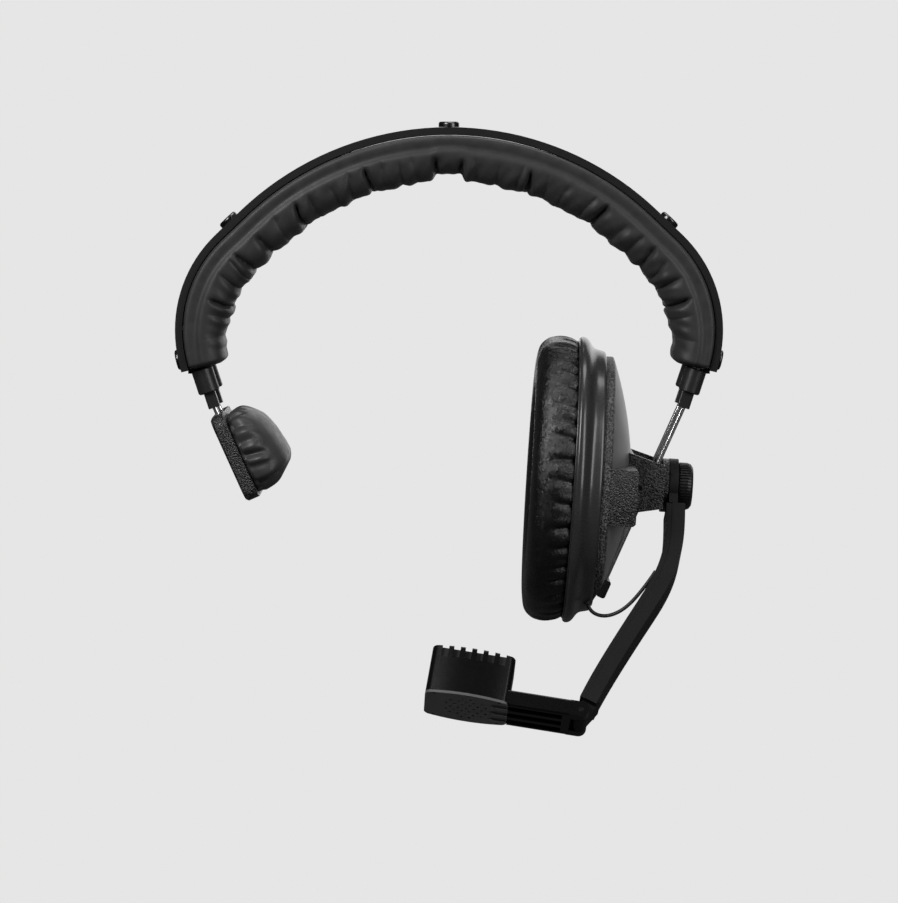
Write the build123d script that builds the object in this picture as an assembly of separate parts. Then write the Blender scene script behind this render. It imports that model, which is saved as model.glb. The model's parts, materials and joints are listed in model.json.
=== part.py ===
"""Single-ear intercom headset: padded spring headband, temple pad, closed ear cup on two sliding
rods, and a swivelling boom with a hinged noise-cancelling microphone. Millimetres.

The origin is the middle of the underside of the headband pad, where it rests on the crown of the
head. +X points to the ear cup side, +Y to the back of the head and +Z up."""

import math
import os

from build123d import *

# Headband outline, as offsets inward from the outer face of the shell
BAND_TOP = 17.0
CROWN_R = 113.0
CROWN_ANGLE = 43.6
STRAIGHT = 12.8
SHOULDER_R = 49.7
END_ANGLE = 103.0
TAIL = 4.5
SHELL_T = 1.8
SHELL_WIDTH = 30.0
SHELL_LIP = 0.9
SPRING_T = 1.1
SPRING_WIDTH = 20.0
CUSHION_TOP = 3.1
CUSHION_BOTTOM = 20.0
CUSHION_WIDTH = 34.0
CUSHION_SKIN = 1.2
CUSHION_TAIL = 2.5
PINCH_WIDTH = 10.0
SNAP_ANGLES = (0.0, CROWN_ANGLE, END_ANGLE)

# Steel rods and their clamps
ROD_R = 0.9
ROD_Y = 9.0
ROD_TILT = 24.0
ROD_EXIT_X = 88.5
ROD_EXIT_Z = -87.7
RIGHT_ROD_LENGTH = 77.0
LEFT_ROD_LENGTH = 34.0
ROD_ROOT = 12.0
CLAMP_TILT = 18.0
BARREL_R = 4.1
BARREL_LENGTH = 9.5
NECK_SIZE = 4.3
NECK_LENGTH = 5.5
END_BLOCK = (7.0, 21.0, 3.5)
END_BLOCK_SHIFT = 0.8

# Temple pad, in a frame on the left rods
TEMPLE_DISTANCE = 20.3
TEMPLE_LENGTH = 34.0
TEMPLE_WIDTH = 46.0
TEMPLE_T = 5.1
TEMPLE_PAD_LENGTH = 31.0
TEMPLE_PAD_WIDTH = 43.0
TEMPLE_PAD_T = 14.2

# Ear cup, in a frame whose z axis is the cup's axis and whose x axis points up
CUP_X = 56.6
CUP_Z = -117.0
CUP_TILT = 3.5
OVAL = 0.775
PAD_FACE = -26.2
PAD_BACK = -10.2
PAD_R = 54.0
PAD_HOLE_R = 31.0
RIM_R = 54.5
NECK_R = 49.1
RIM_INNER_R = 43.1
SKIRT_R = 46.1
COVER_R = 47.6
COVER_BAND = 3.0
DOME = 12.5
DOME_MID = 8.4
DOME_MID_R = 30.0
DOME_FLAT = 11.4
WALL = 2.0
BRACKET_HALF = 13.0
SADDLE_LOW = -12.8
SADDLE_HIGH = 8.2
SADDLE_OUT = 13.3
CAVITY_HALF = 11.1
TURRET_END = 24.5
FLANGE_R = 10.2
FLANGE_END = 26.4
POST_R = 3.5
BOSS_TOP = 4.6
PIVOT_X = 71.7
PIVOT_Z = -118.4
PIVOT_R = 1.0
DRIVER_R = 20.0
SOCKET_R = 4.7
SOCKET_BORE_R = 3.4
SOCKET_DEPTH = 7.0
SOCKET_BACK = 14.0
SOCKET_END = 51.4

# Boom and microphone
BOOM_SWING = 35.0
HEAD_R = 10.3
HEAD_START = 26.7
HEAD_END = 30.0
KNOB_START = 30.3
KNOB_END = 36.0
KNOB_R = 9.0
KNOB_RIBS = 48
BOOM_WIDTH = 14.5
ELBOW_A = -3.9
ELBOW_RHO = 100.1
ELBOW_R = 3.0
ELBOW_PIN_R = 1.1
MIC_TURN = 6.2
MIC_ARM_T = 6.2
MIC_ARM_WIDTH = 17.6
MIC_START = 26.3
MIC_END = 57.0
MIC_HEIGHT = 19.6
MIC_BULGE = 22.0
RIB_PITCH = 4.25
RIB_T = 1.8
SLOT_DEPTH = 4.8
GROOVE_PITCH = 5.4
GROOVE_WIDTH = 3.4
GROOVE_END = 33.6
HOLE_PITCH = 2.9
HOLE_R = 0.55
HOLE_ROWS = (2, 5, 6, 5, 6, 5, 2)

RUNNING = 0.05
GAP = 0.3

# Microphone lead: hand-chosen route from the cup's grommet to the boom's inner face
LEAD_D = 1.4
LEAD_ROUTE = [
    (52.2, -17.0, -161.7),
    (53.0, -17.2, -164.8),
    (59.0, -17.8, -166.8),
    (66.5, -18.6, -163.4),
    (74.0, -19.5, -154.5),
    (77.55, -19.97, -148.93),
]


def polar(angle):
    """Unit vector in XZ, `angle` degrees to the left of straight up."""
    return Vector(-math.sin(math.radians(angle)), 0, math.cos(math.radians(angle)))


def along(angle):
    """Unit tangent of the band, running down its left side, at the same angle."""
    return Vector(-math.cos(math.radians(angle)), 0, -math.sin(math.radians(angle)))


CROWN_CENTRE = Vector(0, 0, BAND_TOP - CROWN_R)
SHOULDER_CENTRE = (
    CROWN_CENTRE
    + polar(CROWN_ANGLE) * (CROWN_R - SHOULDER_R)
    + along(CROWN_ANGLE) * STRAIGHT
)


def band_point(angle, offset):
    """Point of the left half of the band, `offset` inside the shell's outer face."""
    if angle <= CROWN_ANGLE:
        return CROWN_CENTRE + polar(angle) * (CROWN_R - offset)
    return SHOULDER_CENTRE + polar(angle) * (SHOULDER_R - offset)


def mirrored(point):
    return Vector(-point.X, point.Y, point.Z)


def band_chain(offset, end_angle, tail):
    """Edges of one offset outline, from the left end over the crown to the right end."""
    left = [
        band_point(end_angle, offset) + along(end_angle) * tail,
        band_point(end_angle, offset),
        band_point((end_angle + CROWN_ANGLE) / 2, offset),
        SHOULDER_CENTRE + polar(CROWN_ANGLE) * (SHOULDER_R - offset),
        CROWN_CENTRE + polar(CROWN_ANGLE) * (CROWN_R - offset),
    ]
    right = [mirrored(p) for p in left]
    top = band_point(0, offset)
    edges = [Edge.make_line(left[0], left[1])] if tail else []
    edges.append(Edge.make_three_point_arc(left[1], left[2], left[3]))
    edges.append(Edge.make_line(left[3], left[4]))
    edges.append(Edge.make_three_point_arc(left[4], top, right[4]))
    edges.append(Edge.make_line(right[4], right[3]))
    edges.append(Edge.make_three_point_arc(right[3], right[2], right[1]))
    if tail:
        edges.append(Edge.make_line(right[1], right[0]))
    return edges


def band_strip(outer, inner, width, end_angle=END_ANGLE, tail=TAIL):
    """Solid between two offsets of the band, `width` wide in Y."""
    top = band_chain(outer, end_angle, tail)
    bottom = band_chain(inner, end_angle, tail)
    ends = [
        Edge.make_line(top[-1] @ 1, bottom[-1] @ 1),
        Edge.make_line(bottom[0] @ 0, top[0] @ 0),
    ]
    face = Face(Wire(top + ends + bottom))
    return extrude(face, amount=width / 2, dir=(0, 1, 0), both=True)


def rod_direction(side):
    tilt = math.radians(ROD_TILT)
    return Vector(-side * math.sin(tilt), 0, -math.cos(tilt))


def rod_exit(side):
    return Vector(side * ROD_EXIT_X, 0, ROD_EXIT_Z)


def rod_frame(side, distance):
    """x along the rods away from the band, y to the back of the head, z towards the head on the
    left side and away from it on the right side."""
    x_dir = rod_direction(side)
    return Plane(
        origin=rod_exit(side) + x_dir * distance,
        x_dir=x_dir,
        z_dir=x_dir.cross(Vector(0, 1, 0)),
    )


def clamp_frame(side):
    """z up along the clamp barrels, origin at the rods' exit."""
    tilt = math.radians(CLAMP_TILT)
    z_dir = Vector(side * math.sin(tilt), 0, math.cos(tilt))
    return Plane(origin=rod_exit(side), x_dir=Vector(0, 1, 0), z_dir=z_dir)


def cylinder(radius, start, end):
    """Cylinder on the z axis between two heights."""
    return Pos(0, 0, (start + end) / 2) * Cylinder(radius, end - start)


def block(low, high):
    size = [b - a for a, b in zip(low, high)]
    middle = [(a + b) / 2 for a, b in zip(low, high)]
    return Pos(*middle) * Box(*size)


def along_y(radius, x, z, start, end):
    """Cylinder parallel to Y."""
    return Pos(x, (start + end) / 2, z) * Rot(90, 0, 0) * Cylinder(radius, end - start)


def rods(side, length):
    one = Rot(0, 90, 0) * Cylinder(ROD_R, length + ROD_ROOT)
    shift = (length - ROD_ROOT) / 2
    return [rod_frame(side, 0) * Pos(shift, y, 0) * one for y in (-ROD_Y, ROD_Y)]


def rod_bores(side, radius, start, end):
    one = Rot(0, 90, 0) * Cylinder(radius, end - start)
    return [rod_frame(side, 0) * Pos((start + end) / 2, y, 0) * one for y in (-ROD_Y, ROD_Y)]


def snap_frames():
    """One frame per snap: z outward through the band, origin on the shell's outer face."""
    frames = []
    for angle in SNAP_ANGLES:
        for side in (-1, 1) if angle else (-1,):
            point, normal = band_point(angle, 0), polar(angle)
            if angle == CROWN_ANGLE:
                point += along(angle) * STRAIGHT / 2
            if angle == END_ANGLE:
                point += along(angle) * 0.4
            if side > 0:
                point, normal = mirrored(point), mirrored(normal)
            frames.append(Plane(origin=point, x_dir=(0, 1, 0), z_dir=normal))
    return frames


def band_shell():
    shell = band_strip(0, SHELL_T, SHELL_WIDTH)
    lips = band_strip(SHELL_T, SHELL_T + SHELL_LIP, SHELL_WIDTH)
    lips -= band_strip(SHELL_T - 1, SHELL_T + SHELL_LIP + 1, SHELL_WIDTH - 3, tail=TAIL + 1)
    shell += lips
    for frame in snap_frames():
        shell -= frame * cylinder(1.6, -SHELL_T - 1, 1)
    return shell


def band_spring():
    strip = band_strip(SHELL_T + 0.05, SHELL_T + 0.05 + SPRING_T, SPRING_WIDTH, 88.0, 0)
    for frame in snap_frames():
        strip -= frame * cylinder(1.6, -SHELL_T - 3, 1)
    return strip


def pinch_cut():
    return block((-PINCH_WIDTH / 2, -30, -20), (PINCH_WIDTH / 2, 30, 0))


def band_cushion():
    """Leatherette sleeve, hollow for the foam."""
    cushion = band_strip(CUSHION_TOP, CUSHION_BOTTOM, CUSHION_WIDTH, tail=CUSHION_TAIL)
    cushion -= pinch_cut()
    inner_top = CUSHION_TOP + CUSHION_SKIN
    inner_bottom = CUSHION_BOTTOM - CUSHION_SKIN
    hollow_width = CUSHION_WIDTH - 2 * CUSHION_SKIN
    hollow = band_strip(inner_top, inner_bottom, hollow_width, tail=CUSHION_TAIL - CUSHION_SKIN)
    return cushion - (hollow - Pos(0, 0, CUSHION_SKIN) * pinch_cut())


def band_foam():
    step = CUSHION_SKIN + 0.1
    foam = band_strip(
        CUSHION_TOP + step,
        CUSHION_BOTTOM - step,
        CUSHION_WIDTH - 2 * step,
        tail=CUSHION_TAIL - step,
    )
    return foam - Pos(0, 0, step) * pinch_cut()


def snap_caps():
    caps = []
    for frame in snap_frames():
        cap = cylinder(3.9, 0.02, 2.1)
        cap = fillet(cap.edges().sort_by(Axis.Z)[-1], 0.9)
        caps.append(frame * cap)
    return Compound(children=caps)


def snap_studs():
    """Rivet shanks with flat heads under the shell."""
    studs = []
    for frame in snap_frames():
        studs.append(frame * cylinder(1.5, -3.0, 0.0))
    return Compound(children=studs)


def rod_clamp(side):
    """Two barrels with square necks, joined by a cross bar and held by a tongue in the band."""
    frame = clamp_frame(side)
    top = NECK_LENGTH + BARREL_LENGTH
    clamp = None
    for y in (-ROD_Y, ROD_Y):
        barrel = Pos(y, 0, 0) * cylinder(BARREL_R, NECK_LENGTH, top)
        barrel = chamfer(barrel.edges().filter_by(GeomType.CIRCLE), 0.5)
        neck = Pos(y, 0, NECK_LENGTH / 2) * Box(NECK_SIZE, NECK_SIZE, NECK_LENGTH + 1)
        neck = chamfer(neck.edges().filter_by(Axis.Z), 0.6)
        piece = barrel + neck
        clamp = piece if clamp is None else clamp + piece
    clamp += block((-ROD_Y, -2.2, NECK_LENGTH + 3), (ROD_Y, 2.2, top - 0.2))
    clamp = frame * clamp
    end = band_point(END_ANGLE, SHELL_T + 0.1)
    tongue = band_strip(SHELL_T + 0.1, SHELL_T + 1.2, 16, END_ANGLE, TAIL)
    keep = block((-200, -20, end.Z - 8), (0, 20, -60))
    tongue = tongue & keep
    foot_low = min((tongue.vertices().sort_by(Axis.Z)[0]).Z, -74)
    tip = end + along(END_ANGLE) * TAIL
    foot = block((tip.X + 0.2, -8, foot_low - 1.4), (-92, 8, foot_low + 0.4))
    hook = tongue + foot
    for frame_one in snap_frames():
        hook -= frame_one * cylinder(1.6, -SHELL_T - 3, 1)
    if side > 0:
        hook = hook.mirror(Plane.YZ)
    clamp += hook
    for bore in rod_bores(side, ROD_R + 0.01, -ROD_ROOT - 0.2, 3):
        clamp -= bore
    for y in (-ROD_Y, ROD_Y):
        clamp -= frame * Pos(y, 0, top - 3) * Rot(90, 0, 0) * cylinder(0.9, -8, 0)
    return clamp


def clamp_screws():
    """Set screws that pinch the rods in their barrels."""
    top = NECK_LENGTH + BARREL_LENGTH
    screws = []
    for side in (-1, 1):
        for y in (-ROD_Y, ROD_Y):
            screw = Pos(y, 0, top - 3) * Rot(90, 0, 0) * cylinder(0.86, -3.9, -2.2)
            screws.append(clamp_frame(side) * screw)
    return Compound(children=screws)


def rod_end_block():
    length, width, thickness = END_BLOCK
    piece = Box(length, width, thickness)
    piece = fillet(piece.edges().filter_by(Axis.Y), 1.0)
    piece = rod_frame(1, RIGHT_ROD_LENGTH - 1.5) * Pos(0, 0, END_BLOCK_SHIFT) * piece
    for bore in rod_bores(1, ROD_R + 0.01, RIGHT_ROD_LENGTH - 8, RIGHT_ROD_LENGTH + 0.1):
        piece -= bore
    return piece


def temple_frame():
    return rod_frame(-1, TEMPLE_DISTANCE)


def temple_plate():
    """Outer tray: rods run in its two bores and a friction clip sits in its pocket."""
    half_t = TEMPLE_T / 2
    plate = Box(TEMPLE_LENGTH, TEMPLE_WIDTH, TEMPLE_T)
    plate = fillet(plate.edges().filter_by(Axis.Z), 5.0)
    plate = chamfer(plate.faces().sort_by(Axis.Z)[0].edges(), 0.8)
    plate -= block((-13, -19, 1.35), (15, 19, half_t + 1))
    plate -= block((-8, -11.4, -1.3), (8, 11.4, half_t + 1))
    for x in (-10.5, 12.5):
        for y in (-15.5, 15.5):
            plate -= Pos(x, y, 0) * cylinder(0.9, -1.2, half_t)
    plate = temple_frame() * plate
    start = TEMPLE_DISTANCE - TEMPLE_LENGTH / 2
    for bore in rod_bores(-1, ROD_R + RUNNING, start - 1, start + TEMPLE_LENGTH - 1.2):
        plate -= bore
    return plate


def temple_backing():
    """Thin board that the cushion is sewn to, let into the plate."""
    board = block((-12.9, -18.9, 1.4), (14.9, 18.9, TEMPLE_T / 2))
    for x in (-10.5, 12.5):
        for y in (-15.5, 15.5):
            board -= Pos(x, y, 0) * cylinder(1.0, 1, 3)
    board = temple_frame() * board
    for bore in rod_bores(-1, ROD_R + RUNNING, 0, 60):
        board -= bore
    return board


def temple_spring_clip():
    """Bent steel leaf that rubs on both rods."""
    leaf = block((-7.6, -7.9, -1.2), (7.6, 7.9, -0.8))
    leaf += block((-7.6, -7.9, -1.2), (7.6, -7.5, 1.2))
    leaf += block((-7.6, 7.5, -1.2), (7.6, 7.9, 1.2))
    return temple_frame() * leaf


def temple_screws():
    screws = []
    for x in (-10.5, 12.5):
        for y in (-15.5, 15.5):
            screw = cylinder(0.88, -1.1, 1.5) + cylinder(0.95, 1.45, TEMPLE_T / 2 - 0.1)
            screws.append(temple_frame() * Pos(x, y, 0) * screw)
    return Compound(children=screws)


def temple_dome(step):
    """Crowned cushion, `step` inside its outer surface."""
    low = TEMPLE_T / 2 + 0.02 + step
    size = (TEMPLE_PAD_LENGTH - 2 * step, TEMPLE_PAD_WIDTH - 2 * step)
    height = TEMPLE_PAD_T - 2 * step
    dome = Pos(0, 0, low + height / 2) * Box(*size, height)
    dome = fillet(dome.edges().filter_by(Axis.Z), 12.0 - step)
    return fillet(dome.faces().sort_by(Axis.Z)[-1].edges(), 9.0 - step)


def temple_cushion():
    return temple_frame() * (temple_dome(0) - temple_dome(1.2))


def temple_foam():
    return temple_frame() * temple_dome(1.3)


CUP = Plane(
    origin=(CUP_X, 0, CUP_Z),
    x_dir=(math.sin(math.radians(CUP_TILT)), 0, math.cos(math.radians(CUP_TILT))),
    z_dir=(math.cos(math.radians(CUP_TILT)), 0, -math.sin(math.radians(CUP_TILT))),
)


def turned(points):
    """Solid of revolution about z of a closed (radius, height) outline."""
    outline = Polyline([(r, 0, z) for r, z in points], close=True)
    return revolve(Face(Wire(outline.edges())), Axis.Z)


def oval(solid):
    return scale(solid, by=(1, OVAL, 1))


def ear_ring(step):
    """Ring cushion with rounded edges, `step` inside its outer surface."""
    outer, inner = PAD_R - step, PAD_HOLE_R + step
    low, high = PAD_FACE + step, PAD_BACK - 0.02 - step
    ring = cylinder(outer, low, high) - cylinder(inner, low - 1, high + 1)
    face_edges = ring.edges().filter_by(GeomType.CIRCLE).group_by(Axis.Z)[0]
    return fillet(face_edges, 6.0 - step)


def ear_cushion():
    return CUP * (oval(ear_ring(0)) - oval(ear_ring(1.2)))


def ear_foam():
    return CUP * oval(ear_ring(1.4))


def cushion_ring():
    """Clip ring that holds the cushion's skirt on the rim."""
    ring = cylinder(SKIRT_R - 0.2, PAD_BACK, PAD_BACK + 1.6) - cylinder(39.0, PAD_BACK - 1, 0)
    return CUP * (oval(ring) - socket_shape(SOCKET_R + 0.02, 36, 60))


def socket_shape(radius, start, end):
    """Cylinder pointing down out of the rim, towards its back."""
    return Pos(0, -SOCKET_BACK, -5.2) * Rot(0, -90, 0) * cylinder(radius, start, end)


def grommet_shape(radius, start, end):
    return Pos(0, 17.0, -1.75) * Rot(0, -90, 0) * cylinder(radius, start, end)


def cup_rim():
    """Flared lip, concave neck and inner wall; the cover closes it at z = 0."""
    profile = [
        (SKIRT_R, PAD_BACK),
        (RIM_R - 0.6, PAD_BACK),
        (RIM_R, PAD_BACK + 0.7),
        (RIM_R, PAD_BACK + 2.2),
        (RIM_R - 1.2, PAD_BACK + 3.4),
        (NECK_R + 0.6, PAD_BACK + 5.2),
        (NECK_R, PAD_BACK + 6.4),
        (NECK_R, -0.02),
        (RIM_INNER_R, -0.02),
        (RIM_INNER_R, PAD_BACK + 4.0),
        (SKIRT_R, PAD_BACK + 4.0),
    ]
    rim = oval(turned(profile))
    rim -= socket_shape(SOCKET_R + 0.02, 36, 60)
    rim -= grommet_shape(1.62, 34, 60)
    return CUP * rim


def round_dome(step):
    """Solid under the cover's surface before it is made oval, `step` inside that surface."""
    edge = COVER_R - 0.4 - step
    crest = ThreePointArc(
        (0, 0, DOME - step), (DOME_MID_R, 0, DOME_MID - step), (edge, 0, COVER_BAND - step)
    )
    rest = Polyline(
        (edge, 0, COVER_BAND - step),
        (COVER_R - step, 0, COVER_BAND - 0.5 - step),
        (COVER_R - step, 0, 0),
        (0, 0, 0),
        (0, 0, DOME - step),
    )
    return revolve(Face(Wire(crest.edges() + rest.edges())), Axis.Z)


FACET_TOP = (-14.7, 11.6)
FACET_BOTTOM = (-43.8, 0.4)


def facet_cut(step):
    """Space outboard of the slanted facet that gives the rods room under the bracket."""
    points = [
        (-14.0, FACET_TOP[1] + 0.3 - step),
        (FACET_TOP[0], FACET_TOP[1] - step),
        (FACET_BOTTOM[0], FACET_BOTTOM[1] - step),
        (-60.0, FACET_BOTTOM[1] - step),
        (-60.0, 30.0),
        (-14.0, 30.0),
    ]
    outline = Polyline([(x, 0, z) for x, z in points], close=True)
    return extrude(Face(Wire(outline.edges())), amount=60, dir=(0, 1, 0), both=True)


def cup_cover():
    """Domed textured shell with a flat facet cut across its lower half."""
    cover = round_dome(0) - facet_cut(0)
    hollow = round_dome(WALL) - Pos(WALL, 0, 0) * facet_cut(1.2)
    hollow -= block((-51, -60, -1), (-39, 60, 5))
    cover -= hollow
    cover -= block((-16, -CAVITY_HALF / OVAL, DOME_FLAT), (14, CAVITY_HALF / OVAL, 20))
    for x, y in screw_places():
        boss = cylinder(2.6, 0.0, BOSS_TOP) - cylinder(1.1, -1, BOSS_TOP - 0.9)
        cover += Pos(x, y / OVAL, 0) * boss
    return CUP * oval(cover)


def screw_places():
    return [(27.0, 19.0), (27.0, -19.0), (-8.0, 28.5), (-8.0, -28.5)]


def cavity():
    """Room for the rods and the slider, open above, below and outboard below the turret."""
    room = block((-40, -CAVITY_HALF, 14.0), (30, CAVITY_HALF, TURRET_END - 0.4))
    room += block((-40, -CAVITY_HALF, 8.5), (5, CAVITY_HALF, 14.5))
    room += block((-40, -CAVITY_HALF, 12.4), (30, CAVITY_HALF, 14.5))
    return room


def cup_bracket():
    """Two-cheek bracket on the cover with the tapered turret that carries the boom."""
    side = [(-14.7, 2.0), (-14.7, 11.0), (-12.5, 13.5), (7.0, 13.5), (7.0, 2.0)]
    outline = Polyline([(x, 0, z) for x, z in side], close=True)
    body = extrude(Face(Wire(outline.edges())), amount=BRACKET_HALF, dir=(0, 1, 0), both=True)
    turret = [(-10.5, 11.0), (-7.8, TURRET_END), (8.5, TURRET_END), (12.5, 11.0)]
    outline = Polyline([(x, 0, z) for x, z in turret], close=True)
    half = BRACKET_HALF - 0.3
    body += extrude(Face(Wire(outline.edges())), amount=half, dir=(0, 1, 0), both=True)
    body += cylinder(FLANGE_R, TURRET_END - 0.5, FLANGE_END)
    body -= cavity()
    body -= cylinder(2.02, TURRET_END - 2, FLANGE_END + 1)
    body = CUP * body
    body -= CUP * oval(round_dome(0))
    body -= along_y(PIVOT_R + 0.01, PIVOT_X, PIVOT_Z, -15, 15)
    return body


def cup_saddle():
    """Raised bar across the cover on both sides of the bracket, its ends flush with the rim."""
    bar = block((SADDLE_LOW, -60, 0.5), (SADDLE_HIGH, 60, SADDLE_OUT))
    bar = chamfer(bar.edges().filter_by(Axis.Y).group_by(Axis.Z)[-1], 0.9)
    bar = bar & cylinder(COVER_R - 0.2, 0, 30)
    bar -= round_dome(0)
    half = (BRACKET_HALF + 0.02) / OVAL
    bar -= block((-20, -half, -1), (20, half, 30))
    return CUP * oval(bar)


def pivot_pin():
    return along_y(PIVOT_R, PIVOT_X, PIVOT_Z, -12.4, 12.4)


def slider_distance():
    reach = Vector(PIVOT_X, 0, PIVOT_Z) - rod_exit(1)
    return reach.dot(rod_direction(1))


def slider_body():
    """Block that slides on both rods and turns on the pivot pin."""
    middle = slider_distance()
    carrier = block((-4.6, -10.7, -2.0), (4.6, 10.7, 2.0))
    carrier = fillet(carrier.edges().filter_by(Axis.Y), 0.8)
    carrier = rod_frame(1, middle) * carrier
    carrier += along_y(2.5, PIVOT_X, PIVOT_Z, -10.7, 10.7)
    carrier -= along_y(PIVOT_R + RUNNING, PIVOT_X, PIVOT_Z, -12, 12)
    for bore in rod_bores(1, 1.5, middle - 6, middle + 6):
        carrier -= bore
    return carrier


def slider_bushes():
    """Plastic bushes that line the slider's two bores."""
    middle = slider_distance()
    bushes = []
    outer = rod_bores(1, 1.48, middle - 4.6, middle + 4.6)
    inner = rod_bores(1, ROD_R + RUNNING, middle - 6, middle + 6)
    pin = along_y(PIVOT_R + 0.2, PIVOT_X, PIVOT_Z, -12, 12)
    for sleeve, bore in zip(outer, inner):
        bushes.append(sleeve - bore - pin)
    return Compound(children=bushes)


def baffle():
    """Board that carries the driver, with a ring of vent holes."""
    board = oval(cylinder(RIM_INNER_R - 1, -8.4, -6.4))
    board -= cylinder(DRIVER_R + 0.05, -9, -6)
    for i in range(12):
        turn = math.radians(30 * i)
        board -= Pos(27 * math.cos(turn), 27 * math.sin(turn), 0) * cylinder(1.2, -9, -6)
    return CUP * board


def driver_grille():
    """Perforated disc in front of the driver, towards the ear."""
    disc = cylinder(DRIVER_R + 1.6, -9.6, -8.42)
    for ring, count in ((4.5, 6), (9.0, 12), (13.5, 18)):
        for i in range(count):
            turn = 2 * math.pi * i / count
            disc -= Pos(ring * math.cos(turn), ring * math.sin(turn), 0) * cylinder(1.1, -11, -8)
    return CUP * disc


def driver_basket():
    basket = cylinder(DRIVER_R, -8.4, -4.2) - cylinder(DRIVER_R - 1.5, -9, -5.4)
    basket -= cylinder(8.0, -6, -3)
    return CUP * basket


def driver_magnet():
    return CUP * (cylinder(11.0, -4.18, -0.4) + cylinder(7.9, -5.6, -4.0))


def driver_diaphragm():
    dome = turned([(0, -7.6), (9, -7.0), (18.3, -8.2), (18.3, -7.9), (9, -6.7), (0, -7.3)])
    return CUP * dome


def damping_foam():
    """Foam pad behind the driver, inside the domed cover."""
    pad = cylinder(26.0, 1.0, 5.4) - cylinder(11.2, 0, 2.0)
    pad = scale(pad, by=(1, 0.9, 1))
    for x, y in screw_places():
        pad -= Pos(x, y, 0) * cylinder(3.0, 0, 8)
    pad -= Pos(WALL, 0, 0) * facet_cut(1.4)
    pad -= block((-40, -40, -1), (-13, 40, 20))
    return CUP * pad


def cover_screws():
    screws = []
    for x, y in screw_places():
        screw = cylinder(0.8, -0.02, 2.6) + cylinder(2.1, -1.2, 0.0)
        screws.append(CUP * Pos(x, y, 0) * screw)
    return Compound(children=screws)


def swivel_post():
    """Threaded post on the cup's axis: the boom head turns on it, the knob screws onto it."""
    post = cylinder(2.0, TURRET_END - 0.35, FLANGE_END) + cylinder(POST_R, FLANGE_END, 33.4)
    return CUP * chamfer(post.edges().group_by(Axis.Z)[-1], 0.5)


def friction_washer():
    return CUP * (cylinder(8.0, FLANGE_END, FLANGE_END + 0.22) - cylinder(POST_R + 0.05, 25, 28))


def cable_socket():
    """Round socket for the main cable: a blind bore with an insulator at its floor."""
    shell = socket_shape(SOCKET_R, 42.4, SOCKET_END)
    shell -= socket_shape(SOCKET_BORE_R, SOCKET_END - SOCKET_DEPTH, SOCKET_END + 1)
    for x in (-1.3, 1.3):
        for y in (-1.3, 1.3):
            shell -= Pos(0, x, y) * socket_shape(0.42, 43.4, SOCKET_END)
    return CUP * shell


def socket_contacts():
    """Contact sleeves set flush in the socket's floor."""
    sleeves = []
    for x in (-1.3, 1.3):
        for y in (-1.3, 1.3):
            sleeves.append(CUP * Pos(0, x, y) * socket_shape(0.4, 43.5, SOCKET_END - SOCKET_DEPTH))
    return Compound(children=sleeves)


def lead_grommet():
    sleeve = grommet_shape(1.6, 36.4, 44.9) - grommet_shape(LEAD_D / 2 + 0.02, 35, 43.9)
    return CUP * sleeve


def boom_plane():
    """x out along the cup's axis, y along the boom's radius, z towards the head's back and down."""
    swing = math.radians(BOOM_SWING)
    up, front = CUP.x_dir, CUP.y_dir
    radius = up * -math.cos(swing) + front * math.sin(swing)
    return Plane(origin=CUP.origin, x_dir=CUP.z_dir, z_dir=CUP.z_dir.cross(radius))


BOOM = boom_plane()
BOOM_LINE = [
    (29.3, 11.3, 3.5),
    (29.35, 17.5, 3.5),
    (28.9, 27.0, 3.5),
    (27.0, 37.0, 3.5),
    (23.4, 46.5, 3.45),
    (18.9, 55.2, 3.4),
    (9.1, 73.6, 3.35),
    (-1.3, 95.5, 3.3),
]


def boom_outline(low, high):
    """Face between two shares of the boom's half thickness, -1 inner to 1 outer."""
    sides = []
    for share in (low, high):
        points = []
        for i, (a, rho, half) in enumerate(BOOM_LINE):
            before = BOOM_LINE[max(i - 1, 0)]
            after = BOOM_LINE[min(i + 1, len(BOOM_LINE) - 1)]
            length = math.hypot(after[0] - before[0], after[1] - before[1])
            normal = ((after[1] - before[1]) / length, -(after[0] - before[0]) / length)
            points.append((a + share * half * normal[0], rho + share * half * normal[1]))
        sides.append(points)
    first = Spline(sides[0])
    second = Spline(sides[1])
    caps = [Line(sides[0][-1], sides[1][-1]), Line(sides[1][0], sides[0][0])]
    return Face(Wire(first.edges() + second.edges() + caps[0].edges() + caps[1].edges()))


def flat_bar(face, width):
    return extrude(face, amount=width / 2, dir=(0, 0, 1), both=True)


def across(radius, x, y, start, end):
    return Pos(x, y, 0) * cylinder(radius, start, end)


def boom_screws_at(radius, start, end):
    """Cylinders square to the straight part of the boom, measured from its middle surface."""
    first, last = Vector(*BOOM_LINE[5][:2]), Vector(*BOOM_LINE[7][:2])
    run = (last - first).normalized()
    normal = Vector(run.Y, -run.X)
    pieces = []
    for share in (0.0, 0.75):
        frame = Plane(origin=first + (last - first) * share, x_dir=(0, 0, 1), z_dir=normal)
        pieces.append(frame * cylinder(radius, start, end))
    return pieces


def boom_head():
    """Collar that turns on the swivel post, with the lug that the arm hangs from."""
    ring = Rot(0, 90, 0) * cylinder(HEAD_R, HEAD_START, HEAD_END)
    lug = block((HEAD_START, 4, -BOOM_WIDTH / 2), (HEAD_END, 11.2, BOOM_WIDTH / 2))
    head = ring + lug
    head -= Rot(0, 90, 0) * cylinder(POST_R + RUNNING, 20, 40)
    return BOOM * head


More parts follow.
